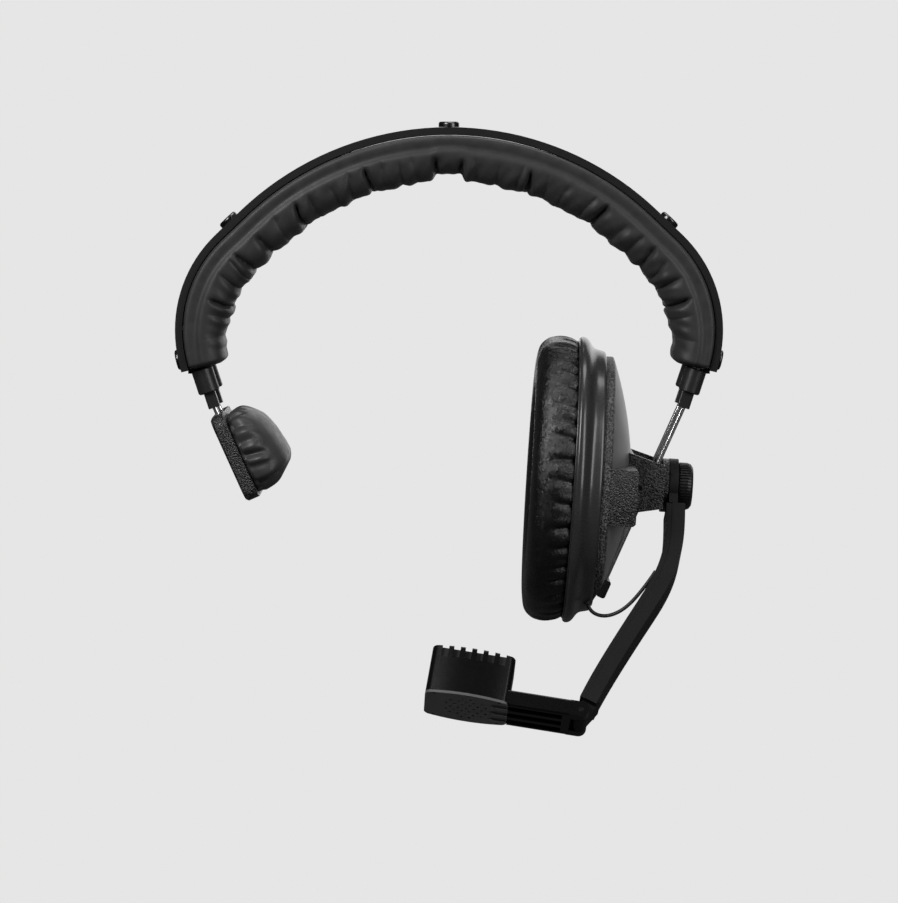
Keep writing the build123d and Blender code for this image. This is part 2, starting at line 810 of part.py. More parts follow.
def elbow_tongue():
    """Narrow web between the boom's end and the centre knuckle."""
    offsets = [(4.2, -7.4), (0.8, -5.6), (-2.4, -1.6), (2.4, 1.5), (7.0, -4.6)]
    points = [(ELBOW_A + a, ELBOW_RHO + rho) for a, rho in offsets]
    return flat_bar(make_face(Polyline(points, close=True)), 9.0)


def boom_arm():
    """Outer part of the flat boom, ending in the elbow's centre knuckle."""
    arm = flat_bar(boom_outline(-0.4, 1), BOOM_WIDTH)
    arm += elbow_tongue()
    arm += across(ELBOW_R, ELBOW_A, ELBOW_RHO, -4.5, 4.5)
    arm -= elbow_room(4.5)
    arm -= across(ELBOW_PIN_R + 0.01, ELBOW_A, ELBOW_RHO, -8, 8)
    for hole in boom_screws_at(0.92, -3, 1.3) + boom_screws_at(1.65, -4, -1.45):
        arm -= hole
    return BOOM * arm


def elbow_room(half):
    """Cylindrical clearance round the elbow beside the centre knuckle."""
    room = across(ELBOW_R + 0.45, ELBOW_A, ELBOW_RHO, half, 12)
    return room + across(ELBOW_R + 0.45, ELBOW_A, ELBOW_RHO, -12, -half)


def boom_cover():
    """Inner lid of the boom over the wire channel."""
    lid = flat_bar(boom_outline(-1, -0.42), BOOM_WIDTH - 0.6)
    lid -= elbow_room(0)
    lid -= elbow_tongue()
    for hole in boom_screws_at(1.0, -5, 0) + boom_screws_at(1.65, -5, -1.48):
        lid -= hole
    return BOOM * lid


def boom_screws():
    """Two screws that hold the lid to the arm, heads sunk in the lid."""
    heads = boom_screws_at(1.6, -2.5, -1.5)
    shanks = boom_screws_at(0.9, -1.5, 1.2)
    return Compound(children=[BOOM * (head + shank) for head, shank in zip(heads, shanks)])


def elbow_pin():
    return BOOM * across(ELBOW_PIN_R, ELBOW_A, ELBOW_RHO, -8.6, 8.6)


def tension_knob():
    """Knurled knob with a crowned end."""
    points = []
    for i in range(KNOB_RIBS):
        for share, radius in ((0.0, KNOB_R), (0.5, KNOB_R), (0.62, KNOB_R - 0.6), (0.88, KNOB_R - 0.6)):
            turn = 2 * math.pi * (i + share) / KNOB_RIBS
            points.append((radius * math.cos(turn), radius * math.sin(turn)))
    ribs = extrude(make_face(Polyline(points, close=True)), amount=KNOB_END - KNOB_START)
    ribs = Pos(0, 0, KNOB_START) * ribs
    crown = turned([(0, KNOB_START), (KNOB_R - 0.3, KNOB_START), (KNOB_R, KNOB_START + 0.4),
                    (KNOB_R, 33.6), (KNOB_R - 0.5, 34.9), (KNOB_R - 1.6, 35.7), (0, KNOB_END)])
    knob = ribs & crown
    knob -= cylinder(4.6, KNOB_START - 1, 33.9)
    return CUP * knob


def knob_insert():
    """Brass thread insert moulded in the knob."""
    insert = cylinder(4.58, KNOB_START + 0.1, 33.9) - cylinder(POST_R + RUNNING, 29, 33.6)
    return CUP * insert


def mic_plane():
    """x along the microphone arm from the elbow, y towards the mouth, z as the boom's."""
    turn = math.radians(MIC_TURN)
    x_dir = BOOM.x_dir * -math.cos(turn) + BOOM.y_dir * -math.sin(turn)
    origin = BOOM.from_local_coords(Vector(ELBOW_A, ELBOW_RHO, 0))
    return Plane(origin=origin, x_dir=x_dir, z_dir=BOOM.z_dir)


MIC = mic_plane()
HALF_T = MIC_ARM_T / 2
MIC_TOP = MIC_HEIGHT - HALF_T
COMB_LOW = MIC_TOP - 8.0


def mic_barrel_solid(low, high, inset):
    """Bulged block between two heights: flat ends, convex sides."""
    half_end = MIC_ARM_WIDTH / 2 - inset
    half_mid = MIC_BULGE / 2 - inset
    start, end = MIC_START + inset, MIC_END - inset
    middle = (start + end) / 2
    edges = [
        Edge.make_three_point_arc(
            Vector(start, 0, -half_end), Vector(middle, 0, -half_mid), Vector(end, 0, -half_end)
        ),
        Edge.make_line(Vector(end, 0, -half_end), Vector(end, 0, half_end)),
        Edge.make_three_point_arc(
            Vector(end, 0, half_end), Vector(middle, 0, half_mid), Vector(start, 0, half_end)
        ),
        Edge.make_line(Vector(start, 0, half_end), Vector(start, 0, -half_end)),
    ]
    prism = extrude(Face(Wire(edges)), amount=high - low, dir=(0, 1, 0))
    prism = fillet(prism.edges().filter_by(Axis.Y), 2.6 - inset)
    return Pos(0, low, 0) * prism


def groove_cut(depth):
    """Three pointed grooves under the arm that run on into the perforated plate."""
    cut = None
    for z in (-GROOVE_PITCH, 0, GROOVE_PITCH):
        half = GROOVE_WIDTH / 2
        points = [(6.4, z - half), (GROOVE_END - 2.6, z - half), (GROOVE_END, z),
                  (GROOVE_END - 2.6, z + half), (6.4, z + half)]
        outline = Polyline([(x, 0, w) for x, w in points], close=True)
        groove = extrude(Face(Wire(outline.edges())), amount=3.0, dir=(0, -1, 0))
        groove = Pos(0, -depth, 0) * groove
        cut = groove if cut is None else cut + groove
    return cut


def mic_body():
    """Arm with the elbow's two ears, and the hollow capsule housing."""
    arm = block((3.4, -HALF_T, -MIC_ARM_WIDTH / 2), (MIC_START + 1, HALF_T, MIC_ARM_WIDTH / 2))
    arm = fillet(arm.edges().filter_by(Axis.X), 0.7)
    arm -= block((MIC_START, -HALF_T - 1, -10), (MIC_START + 2, -HALF_T + 1.0, 10))
    for z in (-1, 1):
        low, high = sorted((z * 4.8, z * (MIC_ARM_WIDTH / 2 - 0.1)))
        arm += across(ELBOW_R, 0, 0, low, high)
        arm += block((0, -HALF_T + 0.1, low), (4.2, HALF_T - 0.1, high))
    arm -= across(ELBOW_R + 0.45, 0, 0, -4.8, 4.8)
    arm -= groove_cut(HALF_T - 1.3)
    housing = mic_barrel_solid(-HALF_T + 1.0, COMB_LOW, 0)
    housing -= mic_barrel_solid(-HALF_T - 1, COMB_LOW + 1, 1.6)
    solid = arm + housing
    solid -= block((MIC_START + 1.6, -HALF_T + 1.0, -5.5), (MIC_END - 1.6, COMB_LOW + 1, 5.5))
    solid -= across(ELBOW_PIN_R + RUNNING, 0, 0, -9, 9)
    for hole in mic_screw_solids(0.57, 5.2):
        solid -= hole
    return MIC * solid


def mic_comb():
    """Slotted grille on the mouth side: ribs run across the microphone."""
    comb = mic_barrel_solid(COMB_LOW + 0.02, MIC_TOP, 0)
    comb = fillet(comb.faces().sort_by(Axis.Y)[-1].edges(), 0.8)
    comb -= mic_barrel_solid(COMB_LOW - 1, COMB_LOW + 1.0, 1.6)
    first = (MIC_START + MIC_END) / 2 - 2.5 * RIB_PITCH
    for i in range(6):
        middle = first + i * RIB_PITCH
        half = (RIB_PITCH - RIB_T) / 2
        comb -= block((middle - half, MIC_TOP - SLOT_DEPTH, -15), (middle + half, MIC_TOP + 1, 15))
        comb -= block((middle - half, COMB_LOW - 1, -5), (middle + half, MIC_TOP, 5))
    return MIC * comb


def mic_rear_plate():
    """Perforated plate on the side away from the mouth."""
    plate = mic_barrel_solid(-HALF_T, -HALF_T + 0.98, 0.0)
    plate -= groove_cut(HALF_T - 0.6)
    middle = (MIC_START + MIC_END) / 2
    rows = len(HOLE_ROWS)
    for row, count in enumerate(HOLE_ROWS):
        z = (row - (rows - 1) / 2) * HOLE_PITCH * math.sqrt(3) / 2
        for i in range(count):
            x = middle + (i - (count - 1) / 2) * HOLE_PITCH
            plate -= Pos(x, -HALF_T, z) * Rot(90, 0, 0) * Cylinder(HOLE_R, 4)
    for hole in mic_screw_solids(0.57, 5.2):
        plate -= hole
    return MIC * plate


def mic_mesh():
    """Windscreen: one black foam plug in each slot of the comb."""
    plugs = []
    half = (RIB_PITCH - RIB_T) / 2 - 0.02
    for i in range(6):
        middle = (MIC_START + MIC_END) / 2 + (i - 2.5) * RIB_PITCH
        plug = block((middle - half, COMB_LOW - 0.4, -4.95), (middle + half, MIC_TOP - 0.6, 4.95))
        plug += block((middle - half, MIC_TOP - SLOT_DEPTH + 0.02, -8.2), (middle + half, MIC_TOP - 0.5, 8.2))
        plugs.append(MIC * plug)
    return Compound(children=plugs)


def mic_capsule():
    middle = (MIC_START + MIC_END) / 2
    capsule = Pos(middle, 0, 0) * Rot(-90, 0, 0) * cylinder(7.4, -0.2, 5.2)
    return MIC * chamfer(capsule.edges().filter_by(GeomType.CIRCLE), 0.4)


def capsule_cradle():
    """Rubber shock ring round the capsule."""
    middle = (MIC_START + MIC_END) / 2
    ring = Rot(-90, 0, 0) * (cylinder(8.3, 0.4, 4.4) - cylinder(7.42, -1, 6))
    return MIC * Pos(middle, 0, 0) * ring


def mic_screw_solids(radius, end):
    pieces = []
    for x in (MIC_START + 3.4, MIC_END - 3.4):
        for z in (-8.85, 8.85):
            pieces.append(Pos(x, -HALF_T, z) * Rot(-90, 0, 0) * cylinder(radius, 0, end))
    return pieces


def mic_screws():
    """Four small screws that hold the perforated plate to the housing."""
    return Compound(children=[MIC * screw for screw in mic_screw_solids(0.55, 5.0)])


def lead_radii():
    """Corner radii: 0.45 of the shorter run over the tangent of half the turn."""
    points = [Vector(*p) for p in LEAD_ROUTE]
    radii = []
    for before, corner, after in zip(points, points[1:], points[2:]):
        first, second = corner - before, after - corner
        turn = math.radians(first.get_angle(second))
        radii.append(0.45 * min(first.length, second.length) / math.tan(turn / 2))
    return radii


def mic_lead():
    radii = lead_radii()
    print("mic_lead corner radii", [round(r, 1) for r in radii], "mm")
    path = FilletPolyline(*LEAD_ROUTE, radius=radii)
    path_wire = Wire(path.edges())
    print("mic_lead length", round(path_wire.length, 1), "mm")
    start = Plane(origin=path_wire @ 0, z_dir=path_wire % 0)
    tube = sweep(start * Circle(LEAD_D / 2), path=path_wire)
    print("mic_lead volume ratio", round(tube.volume / (math.pi * LEAD_D**2 / 4 * path_wire.length), 3))
    return tube


NODES = {
    "band_shell": band_shell,
    "band_spring": band_spring,
    "band_cushion": band_cushion,
    "band_foam": band_foam,
    "snap_caps": snap_caps,
    "snap_studs": snap_studs,
    "rod_clamp_left": lambda: rod_clamp(-1),
    "rod_clamp_right": lambda: rod_clamp(1),
    "clamp_screws": clamp_screws,
    "rods_left": lambda: Compound(children=rods(-1, LEFT_ROD_LENGTH)),
    "rods_right": lambda: Compound(children=rods(1, RIGHT_ROD_LENGTH)),
    "rod_end_block": rod_end_block,
    "temple_plate": temple_plate,
    "temple_backing": temple_backing,
    "temple_spring_clip": temple_spring_clip,
    "temple_screws": temple_screws,
    "temple_cushion": temple_cushion,
    "temple_foam": temple_foam,
    "rod_slider": slider_body,
    "slider_bushes": slider_bushes,
    "cup_bracket": cup_bracket,
    "cup_saddle": cup_saddle,
    "pivot_pin": pivot_pin,
    "cup_cover": cup_cover,
    "cup_rim": cup_rim,
    "baffle": baffle,
    "driver_grille": driver_grille,
    "driver_basket": driver_basket,
    "driver_magnet": driver_magnet,
    "driver_diaphragm": driver_diaphragm,
    "damping_foam": damping_foam,
    "ear_cushion": ear_cushion,
    "ear_foam": ear_foam,
    "cushion_ring": cushion_ring,
    "cover_screws": cover_screws,
    "swivel_post": swivel_post,
    "friction_washer": friction_washer,
    "cable_socket": cable_socket,
    "socket_contacts": socket_contacts,
    "lead_grommet": lead_grommet,
    "mic_lead": mic_lead,
    "boom_head": boom_head,
    "boom_arm": boom_arm,
    "boom_cover": boom_cover,
    "boom_screws": boom_screws,
    "elbow_pin": elbow_pin,
    "tension_knob": tension_knob,
    "knob_insert": knob_insert,
    "mic_body": mic_body,
    "mic_comb": mic_comb,
    "mic_rear_plate": mic_rear_plate,
    "mic_mesh": mic_mesh,
    "mic_capsule": mic_capsule,
    "capsule_cradle": capsule_cradle,
    "mic_screws": mic_screws,
}

os.makedirs("parts", exist_ok=True)
for name, build in NODES.items():
    export_step(build(), f"parts/{name}.step")
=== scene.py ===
"""Looks of a single-ear headset microphone: gathered pads, microphone lead, materials, studio.

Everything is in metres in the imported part's frame: origin under the crown pad, +X to the ear cup,
+Y to the back of the head, +Z up. Outlines are worked out in millimetres and scaled by MM."""

import json
import math

import bmesh
import bpy
import numpy as np
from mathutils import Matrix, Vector

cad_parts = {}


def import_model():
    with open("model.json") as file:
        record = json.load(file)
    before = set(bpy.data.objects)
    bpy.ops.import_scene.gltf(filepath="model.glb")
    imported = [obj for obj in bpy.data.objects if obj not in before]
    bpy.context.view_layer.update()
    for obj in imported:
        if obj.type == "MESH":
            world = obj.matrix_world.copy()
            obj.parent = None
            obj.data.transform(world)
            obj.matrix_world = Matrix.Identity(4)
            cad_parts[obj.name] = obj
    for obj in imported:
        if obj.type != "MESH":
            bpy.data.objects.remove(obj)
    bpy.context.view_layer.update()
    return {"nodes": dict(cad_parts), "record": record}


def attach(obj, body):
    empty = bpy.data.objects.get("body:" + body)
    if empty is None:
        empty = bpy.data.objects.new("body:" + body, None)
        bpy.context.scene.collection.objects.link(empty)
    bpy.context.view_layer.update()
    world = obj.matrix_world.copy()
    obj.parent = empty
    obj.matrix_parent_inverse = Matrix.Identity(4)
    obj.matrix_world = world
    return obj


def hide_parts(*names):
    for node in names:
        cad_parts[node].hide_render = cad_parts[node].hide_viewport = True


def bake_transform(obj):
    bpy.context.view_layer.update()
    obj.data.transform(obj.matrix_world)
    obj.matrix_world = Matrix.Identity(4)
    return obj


MM = 0.001
TURN = 2 * math.pi

# Headband outline (the shell's outer face), as in the design
BAND_TOP = 17.0
CROWN_R = 113.0
CROWN_ANGLE = math.radians(43.6)
STRAIGHT = 12.8
SHOULDER_R = 49.7
END_ANGLE = math.radians(103.0)

# Headband pad: straight tail past the shoulder, overrun at each end, length of the rounded
# end, depth of its flange below the shell, and how deep and wide its gathers are
PAD_TAIL = 4.7
PAD_OVERRUN = 0.4
PAD_ROUNDING = 2.8
PAD_DEPTH = 3.15
PUFF_DEPTH = 2.3
CREASE_DEPTH = 1.5
CREASE_WIDTH = 1.15

# Ear cup: origin and lean of its frame, and its width over its height
CUP_X = 56.6
CUP_Z = -117.0
CUP_TILT = math.radians(3.5)
OVAL = 0.775

# Temple pad: lean of its rods and origin of its frame
ROD_TILT = math.radians(24.0)
TEMPLE_X = -80.24
TEMPLE_Z = -106.24

# Microphone lead: diameter and control points, from the ear cup's grommet to the boom
LEAD_D = 1.4
LEAD_ROUTE = [
    (52.2, -17.0, -161.7),
    (53.0, -17.2, -164.8),
    (59.0, -17.8, -166.8),
    (66.5, -18.6, -163.4),
    (74.0, -19.5, -154.5),
    (77.55, -19.97, -148.93),
]


# ---------------------------------------------------------------- mesh helpers


def new_object(name, verts, faces):
    """Linked, smooth-shaded mesh object."""
    mesh = bpy.data.meshes.new(name)
    mesh.from_pydata([tuple(v) for v in verts], [], faces)
    mesh.update()
    obj = bpy.data.objects.new(name, mesh)
    bpy.context.collection.objects.link(obj)
    mesh.polygons.foreach_set("use_smooth", [True] * len(mesh.polygons))
    return obj


def skin(name, loops, close_rows=False):
    """Mesh through closed loops of equal length, given as arrays of points in mm.

    The last loop is joined to the first when close_rows is set; if not, both ends are capped."""
    rows, columns = len(loops), len(loops[0])
    verts = np.concatenate(loops) * MM
    faces = []
    last = rows if close_rows else rows - 1
    for i in range(last):
        base, after = i * columns, ((i + 1) % rows) * columns
        for j in range(columns):
            k = (j + 1) % columns
            faces.append((base + j, base + k, after + k, after + j))
    verts = list(map(tuple, verts))
    if not close_rows:
        for row, flip in ((0, False), (rows - 1, True)):
            centre = np.mean(loops[row], axis=0) * MM
            verts.append(tuple(centre))
            hub = len(verts) - 1
            for j in range(columns):
                k = (j + 1) % columns
                a, b = row * columns + j, row * columns + k
                faces.append((b, a, hub) if not flip else (a, b, hub))
    obj = new_object(name, verts, faces)
    recalculate(obj)
    return obj


def recalculate(obj):
    """Turns every face outward."""
    bm = bmesh.new()
    bm.from_mesh(obj.data)
    bmesh.ops.recalc_face_normals(bm, faces=bm.faces)
    bm.to_mesh(obj.data)
    bm.free()


def smooth_curve(points, count):
    """Catmull-Rom curve through open control points, evenly spaced in parameter."""
    pts = np.array(points, float)
    ext = np.vstack([2 * pts[0] - pts[1], pts, 2 * pts[-1] - pts[-2]])
    t = np.linspace(0, len(pts) - 1 - 1e-9, count)
    i = t.astype(int)
    f = (t - i)[:, None]
    p0, p1, p2, p3 = ext[i], ext[i + 1], ext[i + 2], ext[i + 3]
    return 0.5 * (
        2 * p1 + (p2 - p0) * f + (2 * p0 - 5 * p1 + 4 * p2 - p3) * f**2
        + (3 * p1 - p0 - 3 * p2 + p3) * f**3
    )


def even(curve, count):
    """The same polyline resampled to even steps."""
    step = np.r_[0, np.cumsum(np.linalg.norm(np.diff(curve, axis=0), axis=1))]
    at = np.linspace(0, step[-1], count)
    return np.stack([np.interp(at, step, curve[:, k]) for k in range(curve.shape[1])], axis=1)


def ramp(x, low, high):
    """Smooth step from 0 at low to 1 at high."""
    t = np.clip((np.asarray(x, float) - low) / (high - low), 0, 1)
    return t * t * (3 - 2 * t)


def bump(x, width):
    """A soft ridge of that half width at 0."""
    return np.exp(-((x / width) ** 2))


def waves(x, seed, lengths, weights):
    """Sum of sines with seeded phases: an irregular ripple along x."""
    phases = np.random.default_rng(seed).uniform(0, TURN, len(lengths))
    total = np.zeros_like(np.asarray(x, float))
    for length, weight, phase in zip(lengths, weights, phases):
        total += weight * np.sin(TURN * x / length + phase)
    return total


# ---------------------------------------------------------------- materials


class Nodes:
    """Short calls for one material's node tree."""

    def __init__(self, name, color, rough, metallic=0.0):
        self.material = bpy.data.materials.new(name)
        self.material.use_nodes = True
        self.tree = self.material.node_tree
        self.shader = self.tree.nodes["Principled BSDF"]
        self.shader.inputs["Base Color"].default_value = (*color, 1)
        self.shader.inputs["Roughness"].default_value = rough
        self.shader.inputs["Metallic"].default_value = metallic
        self.normal = None
        self.place = self.add("ShaderNodeTexCoord").outputs["Object"]

    def add(self, kind, **values):
        node = self.tree.nodes.new(kind)
        for key, value in values.items():
            setattr(node, key, value)
        return node

    def link(self, source, target):
        self.tree.links.new(source, target)

    def noise(self, size_mm, detail=3.0, rough=0.55, stretch=None):
        node = self.add("ShaderNodeTexNoise")
        node.inputs["Scale"].default_value = 1 / (size_mm * MM)
        node.inputs["Detail"].default_value = detail
        node.inputs["Roughness"].default_value = rough
        self.link(self.mapped(stretch), node.inputs["Vector"])
        return node.outputs["Fac"]

    def cells(self, size_mm, feature="F1"):
        node = self.add("ShaderNodeTexVoronoi", feature=feature)
        node.inputs["Scale"].default_value = 1 / (size_mm * MM)
        self.link(self.place, node.inputs["Vector"])
        return node.outputs["Distance"]

    def mapped(self, stretch):
        if stretch is None:
            return self.place
        node = self.add("ShaderNodeMapping")
        node.inputs["Scale"].default_value = stretch
        self.link(self.place, node.inputs["Vector"])
        return node.outputs["Vector"]

    def curve(self, source, low, high, out_low=0.0, out_high=1.0):
        node = self.add("ShaderNodeMapRange")
        node.inputs["From Min"].default_value = low
        node.inputs["From Max"].default_value = high
        node.inputs["To Min"].default_value = out_low
        node.inputs["To Max"].default_value = out_high
        self.link(source, node.inputs["Value"])
        return node.outputs["Result"]

    def math(self, operation, first, second):
        node = self.add("ShaderNodeMath", operation=operation)
        for socket, value in zip(node.inputs, (first, second)):
            if isinstance(value, (int, float)):
                socket.default_value = value
            else:
                self.link(value, socket)
        return node.outputs[0]

    def relief(self, height, depth_mm, strength=1.0):
        node = self.add("ShaderNodeBump")
        node.inputs["Distance"].default_value = depth_mm * MM
        node.inputs["Strength"].default_value = strength
        self.link(height, node.inputs["Height"])
        if self.normal is not None:
            self.link(self.normal, node.inputs["Normal"])
        self.normal = node.outputs["Normal"]
        self.link(self.normal, self.shader.inputs["Normal"])

    def tint(self, fac, dark, light):
        node = self.add("ShaderNodeMix", data_type="RGBA")
        node.inputs["A"].default_value = (*dark, 1)
        node.inputs["B"].default_value = (*light, 1)
        self.link(fac, node.inputs["Factor"])
        self.link(node.outputs["Result"], self.shader.inputs["Base Color"])

    def roughness(self, fac, low, high):
        self.link(self.curve(fac, 0.3, 0.7, low, high), self.shader.inputs["Roughness"])

    def edge_wear_and_highlight(self, amount):
        """Slightly lighter convex edges, partly wear and partly painted edge highlight."""
        geometry = self.add("ShaderNodeNewGeometry")
        return self.curve(geometry.outputs["Pointiness"], 0.52, 0.6, 0.0, amount)

    def coat(self, weight, rough):
        self.shader.inputs["Coat Weight"].default_value = weight
        self.shader.inputs["Coat Roughness"].default_value = rough


def grey(value):
    """A grey with a trace of blue."""
    return (value, value, value * 1.02)


def leatherette(name, base, rough, grain_mm, depth_mm, coat, shine=0.35):
    m = Nodes(name, grey(base), rough)
    cloud = m.noise(6.0, 4)
    m.tint(cloud, grey(base * 0.7), grey(base * 1.35))
    m.roughness(m.noise(3.0, 3), rough - 0.06, rough + 0.08)
    m.relief(m.cells(grain_mm, "DISTANCE_TO_EDGE"), depth_mm, 0.6)
    m.relief(m.noise(grain_mm * 3.2, 4, 0.6), depth_mm * 1.4, 0.5)
    m.coat(coat, rough * 0.8)
    m.shader.inputs["Specular IOR Level"].default_value = shine
    return m.material


def crinkle(name, base, rough, size_mm=0.62, depth_mm=0.24):
    """Spark-eroded crinkle finish: small sharp bumps with smooth tops; the colour carries painted
    glints on the grain tops and painted shade between them.
    """
    m = Nodes(name, grey(base), rough)
    grains_and_glints = m.noise(size_mm, 2, 0.5)
    # painted glints and painted shade: grain tops tinted four times lighter than the base, hollows
    # darker
    m.tint(m.curve(grains_and_glints, 0.5, 0.68), grey(base * 0.4), grey(base * 4.0))
    m.roughness(m.noise(size_mm * 0.8, 2), rough - 0.18, rough + 0.15)
    m.relief(m.curve(grains_and_glints, 0.35, 0.65), depth_mm, 0.9)
    return m.material


def moulded(name, base, rough, coat=0.0, shine=0.4):
    """Moulded plastic: faint mottling, a few fine scuffs, convex edges painted lighter as wear and
    as painted edge highlight.
    """
    m = Nodes(name, grey(base), rough)
    scuff = m.noise(0.9, 5, 0.7, (1, 1, 7))
    # convex edges lighter: partly wear, partly painted edge highlight
    edge = m.edge_wear_and_highlight(0.5)
    mottle_wear_and_highlight = m.math("ADD", m.curve(m.noise(9.0, 3), 0.2, 0.8, 0.0, 0.5), edge)
    m.tint(mottle_wear_and_highlight, grey(base * 0.85), grey(base * 1.5))
    m.roughness(scuff, rough - 0.05, rough + 0.07)
    m.relief(m.noise(0.35, 2), 0.003, 0.3)
    m.coat(coat, 0.12)
    m.shader.inputs["Specular IOR Level"].default_value = shine
    return m.material


def metal(name, base, rough, stretch=(1, 1, 1), size_mm=0.6):
    m = Nodes(name, grey(base), rough, 1.0)
    line = m.noise(size_mm, 4, 0.6, stretch)
    m.tint(line, grey(base * 0.82), grey(min(1.0, base * 1.1)))
    m.roughness(line, rough * 0.75, rough * 1.35)
    m.relief(line, 0.004, 0.4)
    return m.material


def rubber(name, base, rough):
    m = Nodes(name, grey(base), rough)
    m.tint(m.noise(1.5, 3), grey(base * 0.7), grey(base * 1.5))
    m.relief(m.noise(0.25, 2), 0.01, 0.5)
    return m.material


def foam(name, base):
    m = Nodes(name, grey(base), 0.95)
    m.tint(m.cells(0.7), grey(base * 1.6), grey(base * 0.4))
    m.relief(m.cells(0.7), 0.3, 0.9)
    m.shader.inputs["Sheen Weight"].default_value = 0.3
    return m.material


def coloured(name, color, rough, metallic=0.0):
    m = Nodes(name, color, rough, metallic)
    spot = m.noise(1.2, 3)
    dark = tuple(0.8 * c for c in color)
    light = tuple(min(1.0, 1.1 * c) for c in color)
    m.tint(spot, dark, light)
    m.roughness(spot, rough * 0.8, rough * 1.25)
    return m.material


def domed(name, base, edge, rough):
    """Satin dome above a black crinkled band, told apart by height along the cup's axis; the band's
    grain tops are tinted to the dome's grey as painted sparkle.
    """
    m = Nodes(name, grey(base), rough)
    cup = CupFrame()
    foot = cup.world(0.0, 0.0, 0.0)
    axis = cup.world(0.0, 0.0, 1.0) - foot
    dot = m.add("ShaderNodeVectorMath", operation="DOT_PRODUCT")
    m.link(m.place, dot.inputs[0])
    dot.inputs[1].default_value = tuple(axis / MM)
    height = m.math("SUBTRACT", dot.outputs["Value"], float(axis @ foot))
    foot_top, dome_start = 3.0, 3.7
    crown = m.curve(height, foot_top, dome_start)
    band = m.curve(height, foot_top, dome_start, 1.0, 0.0)
    grains_and_glints = m.noise(0.65, 2, 0.5)
    # painted sparkle: the band's grain tops tinted up to the dome's grey as painted glints
    painted_sparkle = m.math("MULTIPLY", m.curve(grains_and_glints, 0.46, 0.6), band)
    m.tint(m.math("MAXIMUM", crown, painted_sparkle), grey(edge), grey(base))
    m.relief(m.math("MULTIPLY", m.curve(grains_and_glints, 0.35, 0.65), band), 0.3, 0.9)
    m.relief(m.noise(0.35, 2), 0.006, 0.4)
    return m.material


def make_materials():
    """Every material by name: grey level or colour first, then roughness."""
    return {
        "band_plastic": moulded("band_plastic", 0.005, 0.4),
        "clamp_plastic": moulded("clamp_plastic", 0.012, 0.36),
        "leatherette": leatherette(
            "leatherette", 0.028, 0.5, grain_mm=0.55, depth_mm=0.02, coat=0.05, shine=0.25
        ),
        "temple_leatherette": leatherette(
            "temple_leatherette", 0.034, 0.46, grain_mm=0.5, depth_mm=0.03, coat=0.06, shine=0.35
        ),
        "ear_leatherette": leatherette(
            "ear_leatherette", 0.004, 0.27, grain_mm=0.62, depth_mm=0.34, coat=0.08, shine=0.5
        ),
        "textured": crinkle("textured", 0.014, 0.34),
        "dome": domed("dome", base=0.1, edge=0.008, rough=0.42),
        "gloss": moulded("gloss", 0.026, 0.28, coat=0.2, shine=0.5),
        "boom": moulded("boom", 0.004, 0.5, shine=0.16),
        "mic": moulded("mic", 0.0015, 0.22, shine=0.3),
        "mic_plate": moulded("mic_plate", 0.06, 0.5, shine=0.3),
        "steel": metal("steel", 0.9, 0.2, stretch=(1, 1, 0.05), size_mm=0.4),
        "spring_steel": metal("spring_steel", 0.22, 0.35, stretch=(0.1, 1, 1), size_mm=0.5),
        "chrome": metal("chrome", 0.08, 0.25),
        "black_steel": metal("black_steel", 0.03, 0.3),
        "screw": metal("screw", 0.4, 0.3),
        "rubber": rubber("rubber", 0.02, 0.5),
        "foam": foam("foam", 0.05),
        "mic_foam": rubber("mic_foam", 0.005, 0.8),
        "acetal": coloured("acetal", (0.75, 0.75, 0.72), 0.4),
        "brass": coloured("brass", (0.75, 0.56, 0.26), 0.28, metallic=1.0),
        "magnet": metal("magnet", 0.35, 0.32),
        "diaphragm": coloured("diaphragm", (0.5, 0.47, 0.36), 0.2),
    }


# Material of each slot that the record names, and of the nodes that differ from their slot
SLOT_MATERIAL = {
    "band_plastic": "band_plastic",
    "leatherette": "leatherette",
    "ear_leatherette": "ear_leatherette",
    "textured_plastic": "textured",
    "gloss_plastic": "gloss",
    "boom_plastic": "boom",
    "mic_plastic": "mic",
    "mic_plate": "mic_plate",
    "steel": "steel",
    "spring_steel": "spring_steel",
    "snap_chrome": "chrome",
    "screw_steel": "screw",
    "rubber": "rubber",
    "foam": "foam",
    "acetal": "acetal",
    "brass": "brass",
    "magnet": "magnet",
    "diaphragm": "diaphragm",
    "mesh": "mic_foam",
}
NODE_MATERIAL = {
    "rod_clamp_left": "clamp_plastic",
    "rod_clamp_right": "clamp_plastic",
    "cup_cover": "dome",
    "rod_end_block": "rubber",
    "boom_head": "boom",
    "elbow_pin": "black_steel",
    "pivot_pin": "black_steel",
    "mic_screws": "black_steel",
    "boom_screws": "black_steel",
}


def dress(obj, material):
    """Sets the material on the object, not on its mesh."""
    if not obj.data.materials:
        obj.data.materials.append(material)
    for place in obj.material_slots:
        place.link = "OBJECT"
        place.material = material


def dress_cad(frame, materials):
    """Gives every CAD node its procedural material."""
    slots = {row["node"]: row["material_slot"] for row in frame["record"]["subparts"]}
    for name, obj in frame["nodes"].items():
        dress(obj, materials[NODE_MATERIAL.get(name, SLOT_MATERIAL[slots[name]])])


# ---------------------------------------------------------------- headband pad


